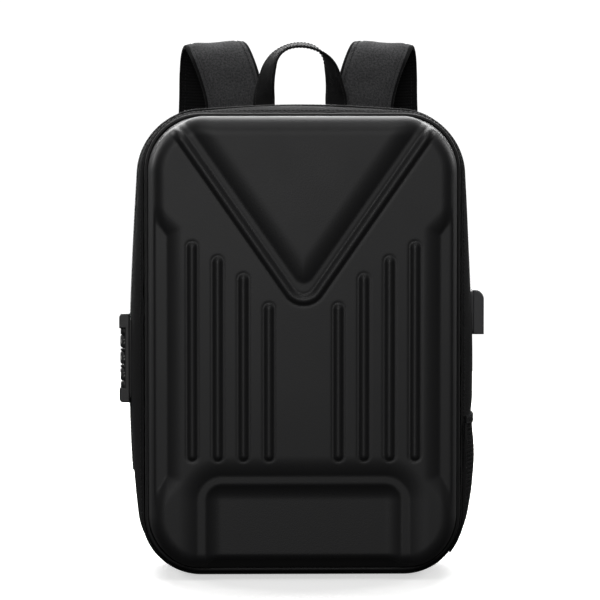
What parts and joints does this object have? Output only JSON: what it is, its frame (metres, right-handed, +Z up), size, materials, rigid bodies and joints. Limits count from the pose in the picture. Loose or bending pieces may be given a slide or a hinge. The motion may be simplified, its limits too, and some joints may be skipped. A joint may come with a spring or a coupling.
{
  "type": "hard shell backpack",
  "caption": "Backpack with a moulded hard front shell on a fabric body, shoulder straps, a top handle, a side combination lock, a charging port and a mesh pocket.",
  "frame": {"origin": "on the floor, at the middle of the flat under the fabric body", "axes": "+Z up, the hard shell faces -Y, the wearer's back is towards +Y, +X is on the right of someone who looks at the shell"},
  "size_m": [0.3527, 0.238, 0.5182],
  "materials": {
    "shell": "fine-grained moulded plastic",
    "piping": "fabric over a cord",
    "fabric": "woven nylon",
    "air_mesh": "padded spacer mesh",
    "zip_tape": "coil zip on tape",
    "webbing": "woven webbing",
    "pocket_mesh": "open net",
    "hard_plastic": "moulded plastic",
    "dial_plastic": "ribbed plastic with digits",
    "metal": "plated"
  },
  "bodies": {
    "bag": {"front_shell": "shell", "shell_piping": "piping", "gusset": "fabric", "back_panel": "air_mesh", "main_zip": "zip_tape", "zip_slider_upper": "metal", "zip_slider_lower": "metal", "carry_handle": "webbing", "lock_housing": "hard_plastic", "lock_axle": "metal", "port_hood": "hard_plastic", "port_socket": "metal", "side_pocket": "pocket_mesh", "pocket_hem": "webbing", "shoulder_pad_right": "fabric", "shoulder_pad_left": "fabric", "pad_tab_right": "webbing", "pad_tab_left": "webbing", "strap_buckle_right": "hard_plastic", "strap_buckle_left": "hard_plastic", "lower_webbing_right": "webbing", "lower_webbing_left": "webbing", "strap_anchor_right": "fabric", "strap_anchor_left": "fabric"},
    "dial_1": {"lock_dial_1": "dial_plastic"},
    "dial_2": {"lock_dial_2": "dial_plastic"},
    "dial_3": {"lock_dial_3": "dial_plastic"}
  },
  "joints": [
    {"name": "dial_1_turn", "type": "hinge", "parent": "bag", "child": "dial_1", "pos_m": [-0.16908, -0.00212, 0.191], "axis": [0, 0, 1], "continuous": true},
    {"name": "dial_2_turn", "type": "hinge", "parent": "bag", "child": "dial_2", "pos_m": [-0.16908, -0.00212, 0.207], "axis": [0, 0, 1], "continuous": true},
    {"name": "dial_3_turn", "type": "hinge", "parent": "bag", "child": "dial_3", "pos_m": [-0.16908, -0.00212, 0.223], "axis": [0, 0, 1], "continuous": true}
  ]
}
